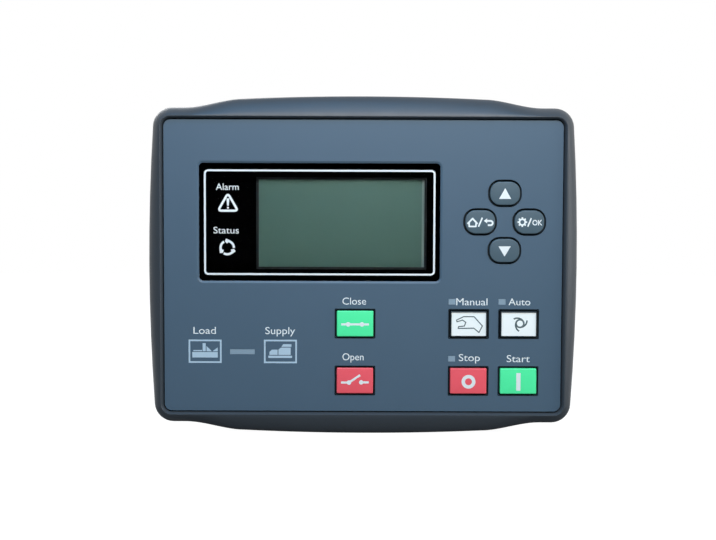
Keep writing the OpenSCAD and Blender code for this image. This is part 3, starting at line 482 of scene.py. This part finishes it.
def makeCap(nodeName, corner, bodyFinish, labelFinish, drop=0.0):
    low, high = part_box(nodeName)
    centre = (low + high) / 2
    reach = keyCap["flangeReach"] * mm
    thick = keyCap["flangeThick"] * mm
    skirtY = high.y - thick
    width = high.x - low.x - 2 * reach
    height = high.z - low.z - 2 * reach
    bm = bmesh.new()
    bmesh.ops.create_cube(bm, size=1, matrix=Matrix.Translation((centre.x, (low.y + skirtY) / 2, centre.z))
                          @ Matrix.Diagonal((width, skirtY - low.y, height, 1)))
    uprights = [edge for edge in bm.edges
                if abs(edge.verts[0].co.y - edge.verts[1].co.y) > keyCap["uprightOver"] * mm]
    roundOff(bm, uprights, corner, keyCap["cornerSteps"])
    front = min(bm.faces, key=faceDepth)
    roundOff(bm, front.edges[:], keyCap["rimSize"], keyCap["rimSteps"])
    back = max(bm.faces, key=faceDepth)
    skirt, corners = pushFace(bm, back)
    bmesh.ops.scale(bm, vec=((width + 2 * reach) / width, 1, (height + 2 * reach) / height),
                    space=Matrix.Translation(-centre), verts=corners)
    skirt, corners = pushFace(bm, skirt)
    bmesh.ops.translate(bm, vec=(0, thick, 0), verts=corners)
    label = min(bm.faces, key=faceDepth)
    if drop:
        label, corners = pushFace(bm, label)
        bmesh.ops.translate(bm, vec=(0, drop * mm, 0), verts=corners)
    bmesh.ops.recalc_face_normals(bm, faces=bm.faces)
    label.material_index = keyCap["labelIndex"]
    # the flange faces take the dark skirt finish, which is painted shade for the gap round the key
    for face in bm.faces:
        if faceDepth(face) > skirtY - keyCap["skirtSlack"] * mm:
            face.material_index = keyCap["skirtIndex"]
    name = "cap" + nodeName[4:].capitalize()
    return finishPiece(bm, name, nodeName, [bodyFinish, labelFinish, "keySkirtShade"],
                       nodeName, keyCap["sharpAngle"])


for nodeName in ovalKeys:
    makeCap(nodeName, keyCap["ovalCorner"], "key_grey", "key_grey")
for nodeName in blockKeys:
    finish = slotOfNode[nodeName]
    if finish == "key_white":
        # white keys: sides and rim in the dark painted-shade finish, the recessed label in white
        makeCap(nodeName, keyCap["blockCorner"], "keySkirtShade", finish, keyCap["labelDrop"])
    else:
        makeCap(nodeName, keyCap["blockCorner"], finish, finish)
print("caps made")

# Signs on the keys, drawn from each key's middle
signPrint = {"lift": 0.015, "depth": 0.06, "step": 0.0015}
arrowSigns = {"up": [(-2.95, -2.7), (2.95, -2.7), (0, 2.55)], "down": [(-3.0, 2.1), (0, -2.9), (3.0, 2.1)],
              "corner": 0.2}


def signUp(bm, y):
    drawShape(bm, arrowSigns["up"], y, arrowSigns["corner"])


def signDown(bm, y):
    drawShape(bm, arrowSigns["down"], y, arrowSigns["corner"])


backSign = {"roof": [(-6.2, -0.95), (-3.75, 1.65), (-1.3, -0.95)], "roofLine": 0.85,
            "walls": [(-5.4, -0.5), (-5.4, -2.2), (-2.1, -2.2), (-2.1, -0.5)], "wallLine": 0.75,
            "slash": [(-0.85, -2.3), (1.0, 2.1)], "slashLine": 0.75,
            "head": [(1.75, 0.55), (3.35, -0.7), (3.35, 1.8)], "upper": [(3.3, 0.55), (5.0, 0.55)],
            "bend": (5.0, -0.5), "bendRadius": 1.05, "lower": [(5.0, -1.55), (3.7, -1.55)], "arrowLine": 0.9}


def signBack(bm, y):
    drawLine(bm, backSign["roof"], backSign["roofLine"], y)
    drawLine(bm, backSign["walls"], backSign["wallLine"], y)
    drawBar(bm, *backSign["slash"], backSign["slashLine"], y)
    drawShape(bm, backSign["head"], y)
    drawBar(bm, *backSign["upper"], backSign["arrowLine"], y)
    drawArc(bm, *backSign["bend"], backSign["bendRadius"], backSign["arrowLine"], math.pi / 2, -math.pi, y)
    drawBar(bm, *backSign["lower"], backSign["arrowLine"], y)


okSign = {"gear": (-3.5, 0), "gearRadius": 1.8, "gearLine": 0.8,
          "teeth": 8, "toothFrom": 1.65, "toothTo": 2.35,
          "slash": [(-0.8, -2.2), (0.85, 1.95)], "slashLine": 0.7,
          "word": ("OK", 3.85, -1.5, 4.9, 2.5), "wordWeight": 0.02}


def signOk(bm, y):
    middle = Vector(okSign["gear"])
    keepOutline(bm, drawDisc(bm, *middle, okSign["gearRadius"], y), okSign["gearLine"])
    for tooth in range(okSign["teeth"]):
        turn = tooth * math.tau / okSign["teeth"]
        ray = Vector((math.cos(turn), math.sin(turn)))
        root = middle + ray * okSign["toothFrom"]
        tip = middle + ray * okSign["toothTo"]
        drawBar(bm, root, tip, okSign["gearLine"], y)
    drawBar(bm, *okSign["slash"], okSign["slashLine"], y)
    drawWord(bm, *okSign["word"], y, okSign["wordWeight"])


switchSigns = {"line": 1.05, "dot": 1.1, "closedBars": [[(-6.8, -0.3), (6.8, -0.3)]],
               "closedDots": [(-3.4, -0.3), (3.4, -0.3)],
               "openBars": [[(-6.8, -0.9), (-2.9, -0.9)], [(-2.9, -0.9), (2.6, 2.8)],
                            [(3.1, -0.8), (6.8, -0.8)]],
               "openDots": [(-2.9, -0.9), (3.1, -0.8)]}


def drawSwitch(bm, bars, dots, y):
    for start, end in bars:
        drawBar(bm, start, end, switchSigns["line"], y)
    for x, z in dots:
        drawDisc(bm, x, z, switchSigns["dot"], y)


def signClose(bm, y):
    drawSwitch(bm, switchSigns["closedBars"], switchSigns["closedDots"], y)


def signOpen(bm, y):
    drawSwitch(bm, switchSigns["openBars"], switchSigns["openDots"], y)


handSign = {"outline": [(-5.15, -2.15), (2.5, -2.0), (5.05, -4.1), (6.7, -0.9), (2.6, 3.65), (-2.5, 3.65),
                        (-6.0, 1.95), (-5.75, 1.15), (-3.0, 1.95), (-1.45, 0.85), (-2.1, -0.95),
                        (-4.95, -1.25)],
            "line": 0.5}


def signManual(bm, y):
    drawLine(bm, handSign["outline"], handSign["line"], y, closed=True)


autoSign = {"middle": (0.6, 0.35), "ring": 1.9, "ringLine": 0.8, "tail": 3.4, "tailLine": 0.75,
            "tailSweep": 92, "tailSteps": 14, "turns": (29, 149, 269)}


def signAuto(bm, y):
    middle = Vector(autoSign["middle"])
    ring = drawDisc(bm, *middle, autoSign["ring"] + autoSign["ringLine"] / 2, y)
    keepOutline(bm, ring, autoSign["ringLine"])
    for turn in map(math.radians, autoSign["turns"]):
        ray = Vector((math.cos(turn), math.sin(turn)))
        drawArc(bm, *(middle + ray * (autoSign["ring"] - autoSign["tail"])), autoSign["tail"],
                autoSign["tailLine"], turn, math.radians(autoSign["tailSweep"]), y, autoSign["tailSteps"])


stopSign = {"middle": (0.1, -0.3), "radius": 3.4, "line": 1.7, "sides": 48}


def signStop(bm, y):
    ring = drawDisc(bm, *stopSign["middle"], stopSign["radius"], y, stopSign["sides"])
    keepOutline(bm, ring, stopSign["line"])


startSign = {"bar": [(0.1, -4.6), (0.1, 4.1)], "line": 2.1}


def signStart(bm, y):
    drawBar(bm, *startSign["bar"], startSign["line"], y)


keySigns = {"key_up": signUp, "key_down": signDown, "key_back": signBack, "key_ok": signOk,
            "key_close": signClose, "key_open": signOpen, "key_manual": signManual, "key_auto": signAuto,
            "key_stop": signStop, "key_start": signStart}
for nodeName, drawSign in keySigns.items():
    low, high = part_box(nodeName)
    bm = bmesh.new()
    drawSign(bm, 0)
    onLabel = slotOfNode[nodeName] == "key_white"
    drop = keyCap["labelDrop"] if onLabel else 0
    signY = low.y + (drop - signPrint["lift"]) * mm
    bmesh.ops.translate(bm, vec=((low.x + high.x) / 2, signY, (low.z + high.z) / 2), verts=bm.verts)
    ink = "darkInk" if onLabel else "whiteInk"
    finishPrint(bm, "sign" + nodeName[4:].capitalize(), nodeName, ink, signPrint["depth"], signPrint["step"])
print("key signs drawn")

# The rubber mat: a sheet on the board and under each key a hollow dome
keyMat = {"node": "keypad_mat", "sheet": 1.0, "foot": 5.5, "footGap": 0.2, "top": 4.0, "bore": 2.8,
          "roof": 1.5, "rimSize": 0.4, "rimSteps": 3, "turns": 48, "travel": 1.0, "sharpAngle": 40}
matLow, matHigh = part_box(keyMat["node"])
sheetY = matHigh.y - keyMat["sheet"] * mm
domeTall = (sheetY - matLow.y) / mm
bm = cadMesh(keyMat["node"])
bmesh.ops.bisect_plane(bm, geom=bm.verts[:] + bm.edges[:] + bm.faces[:], dist=mergeWithin * mm,
                       plane_co=(0, sheetY, 0), plane_no=(0, -1, 0), clear_outer=True)
for nodeName in keySigns:
    centre = middleOf(nodeName)
    footReach = (keyMat["foot"] + keyMat["footGap"]) * mm
    rim = [edge for edge in bm.edges if edge.is_boundary
           and all((v.co - centre).xz.length < footReach for v in edge.verts)]
    bmesh.ops.bridge_loops(bm, edges=rim)
finishPiece(bm, "matSheet", "controller", ["rubber"], keyMat["node"], keyMat["sharpAngle"])
domeProfile = [(0, domeTall), (keyMat["top"], domeTall), (keyMat["foot"], 0), (keyMat["bore"], 0),
               (keyMat["bore"], domeTall - keyMat["roof"]), (0, domeTall - keyMat["roof"])]
for nodeName in keySigns:
    centre = middleOf(nodeName)
    bm = bmesh.new()
    corners = [bm.verts.new((centre.x + radius * mm, sheetY - height * mm, centre.z))
               for radius, height in domeProfile]
    line = [bm.edges.new(pair) for pair in zip(corners, corners[1:])]
    bmesh.ops.spin(bm, geom=corners + line, cent=(centre.x, 0, centre.z), axis=(0, 1, 0), dvec=(0, 0, 0),
                   angle=math.tau, steps=keyMat["turns"], use_merge=True)
    bmesh.ops.remove_doubles(bm, verts=bm.verts, dist=mergeWithin * mm)
    bmesh.ops.recalc_face_normals(bm, faces=bm.faces)
    shoulder = [edge for edge in bm.edges
                if all(abs(v.co.y - matLow.y) < mergeWithin * mm
                       and (v.co - centre).xz.length > keyMat["bore"] * mm for v in edge.verts)]
    roundOff(bm, shoulder, keyMat["rimSize"], keyMat["rimSteps"])
    dome = finishPiece(bm, "dome" + nodeName[4:].capitalize(), "controller", ["rubber"],
                       keyMat["node"], keyMat["sharpAngle"])
    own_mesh(dome)
print("mat made, domes", round(domeTall, 2), "mm tall")

# Words, frames and pictures printed on the panel: text, middle, base line, width, capital height
panelPrint = {
    "lift": 0.015,
    "words": [("Load", -77.6, -33.4, 11.0, 3.4), ("Supply", -40.5, -33.4, 14.6, 3.4),
              ("Close", -4.2, -18.75, 11.6, 3.4), ("Open", -4.75, -46.2, 10.4, 3.4),
              ("Manual", 53.4, -18.9, 15.3, 3.4), ("Auto", 76.7, -18.8, 10.7, 3.3),
              ("Stop", 52.4, -46.4, 10.4, 3.4), ("Start", 76.45, -46.85, 11.4, 3.4)],
    "frames": [(-85.5, -47.75, -69.3, -36.25), (-48.5, -47.8, -32.3, -36.2)],
    "frameLine": 0.8, "borderReach": 1.05, "borderCorner": 0.5, "borderLine": 0.5,
    "factory": [cornerPoints(-83.7, -45.1, -71.2, -42.4), cornerPoints(-83.2, -42.0, -78.9, -41.4),
                cornerPoints(-78.6, -42.0, -77.1, -38.0), [(-76.7, -42.0), (-74.1, -42.0), (-76.7, -39.5)],
                [(-73.8, -42.0), (-71.2, -42.0), (-71.2, -40.1)]],
    "engine": [cornerPoints(-46.4, -45.2, -34.7, -44.1),
               [(-45.8, -43.7), (-41.8, -43.7), (-41.8, -41.1), (-44.6, -41.1), (-45.8, -42.2)],
               [(-41.4, -43.7), (-35.4, -43.7), (-35.4, -40.1), (-40.2, -40.1), (-41.4, -41.1)],
               [(-40.0, -39.7), (-35.0, -39.7), (-35.0, -38.4), (-39.0, -38.4)]],
}
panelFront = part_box("front_panel")[0].y - panelPrint["lift"] * mm
bm = bmesh.new()
for word in panelPrint["words"]:
    drawWord(bm, *word, panelFront)
finishPrint(bm, "panelWords", "controller", "whiteInk")
bm = bmesh.new()
for sides in panelPrint["frames"]:
    drawShape(bm, cornerPoints(*sides), panelFront, outline=panelPrint["frameLine"])
for outline in panelPrint["factory"] + panelPrint["engine"]:
    drawShape(bm, outline, panelFront)
finishPrint(bm, "panelPictures", "controller", "paleInk")
# Painted shade: a dark ring on the panel round each block key, standing in for the shadow of the gap between
# key and panel
bm = bmesh.new()
for nodeName in blockKeys:
    low, high = (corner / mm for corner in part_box(nodeName))
    trim = keyCap["flangeReach"] - panelPrint["borderReach"]
    border = cornerPoints(low.x + trim, low.z + trim, high.x - trim, high.z - trim)
    drawShape(bm, border, panelFront, panelPrint["borderCorner"], outline=panelPrint["borderLine"])
finishPrint(bm, "keyGapShade", "controller", "paintedGapShade")
print("panel printed")

# Inks on the window: a black border on its back, the white line, words and two symbols on its front
windowPrint = {
    "whiteLift": 0.015, "blackGap": 0.015, "margin": 0.2, "corner": 2.0, "cornerSteps": 8,
    "opening": (83.4, 45.0), "line": (112.96, 51.53), "lineMiddle": (-21.28, 21.33), "lineCorner": 2.1,
    "lineWidth": 0.9,
    "words": [("Alarm", -66.35, 37.1, 11.1, 3.15), ("Status", -66.95, 15.9, 12.4, 3.15)],
    "alarm": (-66.05, 31.1), "triangle": [(-5.8, -4.65), (5.8, -4.65), (0, 5.45)], "triangleCorner": 2.6,
    "triangleLine": 1.1, "mark": [(-0.4, -1.7), (0.4, -1.7), (0.7, 1.9), (-0.7, 1.9)], "markCorner": 0.2,
    "dotDrop": 2.65, "dotRadius": 0.5, "dotSides": 16,
    "status": (-66.45, 8.95), "ring": 3.25, "ringLine": 1.1, "turns": (100, 220, 340), "arcStart": 18,
    "arcSweep": 78, "arcSteps": 12, "tip": [(3.25, -0.6), (4.5, 0.25), (3.25, 2.1), (2.0, 0.25)],
}
lensLow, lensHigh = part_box("display_window")
lcdLow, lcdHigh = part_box("lcd_frame")
lensMiddle = (lensLow + lensHigh) / (2 * mm)
lcdMiddle = (lcdLow + lcdHigh) / (2 * mm)
borderSize = (lensHigh - lensLow).xz / mm - 2 * Vector((windowPrint["margin"], windowPrint["margin"]))
blackY = lensHigh.y + windowPrint["blackGap"] * mm
bm = bmesh.new()
drawShape(bm, boxPoints(*lensMiddle.xz, *borderSize), blackY, windowPrint["corner"],
          windowPrint["cornerSteps"])
rimEdges = bm.edges[:]
bmesh.ops.delete(bm, geom=bm.faces[:], context="FACES_ONLY")
holeCorners = [bm.verts.new((x * mm, blackY, z * mm))
               for x, z in boxPoints(*lcdMiddle.xz, *windowPrint["opening"])]
holeEdges = [bm.edges.new(pair) for pair in zip(holeCorners, holeCorners[1:] + holeCorners[:1])]
bmesh.ops.bridge_loops(bm, edges=rimEdges + holeEdges)
finishPrint(bm, "windowBorder", "controller", "blackInk")

whiteY = lensLow.y - windowPrint["whiteLift"] * mm
bm = bmesh.new()
drawShape(bm, boxPoints(*windowPrint["lineMiddle"], *windowPrint["line"]), whiteY, windowPrint["lineCorner"],
          windowPrint["cornerSteps"], windowPrint["lineWidth"])
for word in windowPrint["words"]:
    drawWord(bm, *word, whiteY)
x, z = windowPrint["alarm"]
drawShape(bm, movePoints(windowPrint["triangle"], x, z), whiteY, windowPrint["triangleCorner"],
          windowPrint["cornerSteps"], windowPrint["triangleLine"])
drawShape(bm, movePoints(windowPrint["mark"], x, z), whiteY, windowPrint["markCorner"])
drawDisc(bm, x, z - windowPrint["dotDrop"], windowPrint["dotRadius"], whiteY, windowPrint["dotSides"])
x, z = windowPrint["status"]
for turn in map(math.radians, windowPrint["turns"]):
    arcStart = turn + math.radians(windowPrint["arcStart"])
    drawArc(bm, x, z, windowPrint["ring"], windowPrint["ringLine"], arcStart,
            math.radians(windowPrint["arcSweep"]), whiteY, windowPrint["arcSteps"])
    tip = [(out * math.cos(turn) + ahead * math.sin(turn), out * math.sin(turn) - ahead * math.cos(turn))
           for out, ahead in windowPrint["tip"]]
    drawShape(bm, movePoints(tip, x, z), whiteY)
finishPrint(bm, "windowLines", "controller", "whiteInk")
print("window printed")

# The display's polariser leaves a strip of bare glass at its right edge
polariser = {"size": (80.0, 42.8), "viewWidth": 81.2, "thick": 0.12, "rimSize": 0.04, "rimSteps": 2}
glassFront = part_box("lcd_glass")[0].y
cadNodes["lcd_glass"].data.materials[0] = finishes["bareGlass"]
width, height = polariser["size"]
centreX = lcdMiddle.x - polariser["viewWidth"] / 2 + width / 2
bm = bmesh.new()
bmesh.ops.create_cube(bm, size=1, matrix=Matrix.Translation((
    centreX * mm, glassFront - polariser["thick"] / 2 * mm, lcdMiddle.z * mm))
    @ Matrix.Diagonal((width * mm, polariser["thick"] * mm, height * mm, 1)))
roundOff(bm, bm.edges[:], polariser["rimSize"], polariser["rimSteps"])
finishPiece(bm, "polariser", "controller", ["lcd"])
print("display dressed")

# What the part mirrors is white behind it and dim on the camera's side
mirrorLook = {"dim": 0.012, "white": 1.0}


def mirrorLevel(tree, coordinate, dimUpTo, whiteFrom):
    direction = tree.nodes.new("ShaderNodeSeparateXYZ")
    tree.links.new(tree.nodes.new("ShaderNodeTexCoord").outputs[coordinate], direction.inputs[0])
    level = tree.nodes.new("ShaderNodeMapRange")
    for label, value in (("From Min", dimUpTo), ("From Max", whiteFrom), ("To Min", mirrorLook["dim"]),
                         ("To Max", mirrorLook["white"])):
        level.inputs[label].default_value = value
    tree.links.new(direction.outputs["Y"], level.inputs["Value"])
    return level.outputs[0]


def mirrorRays(tree, path):
    return addMath(tree, "MAXIMUM", path.outputs["Is Glossy Ray"], path.outputs["Is Transmission Ray"])


# Plain white floor under the part; the camera sees it white and keeps a faint shadow
floorLook = {"size": 1.2, "drop": 0.05, "grey": 0.22, "rough": 0.9, "glow": 0.97, "dimUpTo": 0.0,
             "whiteFrom": 0.1}
bm = bmesh.new()
bmesh.ops.create_grid(bm, x_segments=2, y_segments=2, size=floorLook["size"],
                      matrix=Matrix.Translation((0, 0, cadBox[0].z - floorLook["drop"] * mm)))
floorMesh = bpy.data.meshes.new("floor")
bm.to_mesh(floorMesh)
bm.free()
floorMaterial = bpy.data.materials.new("floorPaper")
floorMaterial.use_nodes = True
tree = floorMaterial.node_tree
shader = tree.nodes["Principled BSDF"]
shader.inputs["Base Color"].default_value = (floorLook["grey"],) * 3 + (1,)
shader.inputs["Roughness"].default_value = floorLook["rough"]
shader.inputs["Specular IOR Level"].default_value = 0.0
shader.inputs["Emission Color"].default_value = (1, 1, 1, 1)
path = tree.nodes.new("ShaderNodeLightPath")
level = mirrorLevel(tree, "Object", floorLook["dimUpTo"], floorLook["whiteFrom"])
mirrored = addMath(tree, "MULTIPLY", mirrorRays(tree, path), level)
seen = addMath(tree, "MAXIMUM", path.outputs["Is Camera Ray"], mirrored)
tree.links.new(addMath(tree, "MULTIPLY", seen, floorLook["glow"]), shader.inputs["Emission Strength"])
floorMesh.materials.append(floorMaterial)
floor = bpy.data.objects.new("floor", floorMesh)
scene.collection.objects.link(floor)

# Soft studio light: pale fill all round and broad lamps in front, above, at the right and behind
# Each lamp has its name, place, aim, size, power and colour
studio = {
    "fill": (0.72, 0.83, 0.92), "fillStrength": 0.27, "dimUpTo": -0.5, "whiteFrom": 0.4,
    "lamps": [("keyLamp", (0.03, -0.40, 0.27), (0, 0, 0.03), (0.42, 0.2), 1.95, (0.975, 0.96, 0.95)),
              ("topLamp", (-0.05, -0.25, 0.38), (0, -0.01, 0.06), (0.5, 0.2), 1.0, (0.12, 0.50, 1.0)),
              ("sideLamp", (0.5, -0.15, 0.08), (0, 0, 0), (0.25, 0.4), 0.9, (1.0, 1.0, 1.0)),
              ("rearLamp", (-0.3, 0.5, 0.4), (0, 0.02, 0), (0.4, 0.4), 2.0, (1.0, 1.0, 1.0))],
}
world = bpy.data.worlds.new("studio")
scene.world = world
world.use_nodes = True
tree = world.node_tree
fillLight = tree.nodes["Background"]
fillLight.inputs["Color"].default_value = studio["fill"] + (1,)
fillLight.inputs["Strength"].default_value = studio["fillStrength"]
whiteSheet = tree.nodes.new("ShaderNodeBackground")
whiteSheet.inputs["Color"].default_value = (1, 1, 1, 1)
path = tree.nodes.new("ShaderNodeLightPath")
level = mirrorLevel(tree, "Generated", studio["dimUpTo"], studio["whiteFrom"])
sheetLevel = addMath(tree, "MAXIMUM", path.outputs["Is Camera Ray"], level)
tree.links.new(sheetLevel, whiteSheet.inputs["Strength"])
seen = addMath(tree, "MAXIMUM", path.outputs["Is Camera Ray"], mirrorRays(tree, path))
choose = tree.nodes.new("ShaderNodeMixShader")
tree.links.new(seen, choose.inputs[0])
tree.links.new(fillLight.outputs[0], choose.inputs[1])
tree.links.new(whiteSheet.outputs[0], choose.inputs[2])
tree.links.new(choose.outputs[0], tree.nodes["World Output"].inputs["Surface"])
for name, place, aim, size, power, colour in studio["lamps"]:
    lamp = bpy.data.lights.new(name, "AREA")
    lamp.shape = "RECTANGLE"
    lamp.size, lamp.size_y = size
    lamp.energy = power
    lamp.color = colour
    holder = bpy.data.objects.new(name, lamp)
    holder.location = place
    holder.rotation_euler = (Vector(aim) - Vector(place)).to_track_quat("-Z", "Y").to_euler()
    scene.collection.objects.link(holder)
scene.view_settings.view_transform = "Standard"

# Camera as in the photograph: almost straight on, a little from above and hardly rolled
shot = {"aim": (-2.45, -8.0, -1.77), "distance": 620.0, "lift": 3.5, "roll": 0.2, "scale": 2.044,
        "imageWidth": 716, "sensor": 36.0, "clip": (0.01, 20)}
camera = bpy.data.cameras.new("camera")
camera.sensor_width = shot["sensor"]
camera.lens = shot["scale"] * shot["sensor"] * shot["distance"] / shot["imageWidth"]
camera.clip_start, camera.clip_end = shot["clip"]
lift = math.radians(shot["lift"])
back = Vector((0, -math.cos(lift), math.sin(lift)))
holder = bpy.data.objects.new("camera", camera)
holder.matrix_world = (Matrix.Translation(Vector(shot["aim"]) * mm + back * shot["distance"] * mm)
                       @ (-back).to_track_quat("-Z", "Y").to_matrix().to_4x4()
                       @ Matrix.Rotation(math.radians(shot["roll"]), 4, "Z"))
scene.collection.objects.link(holder)
scene.camera = holder
print("stage lit and camera set")
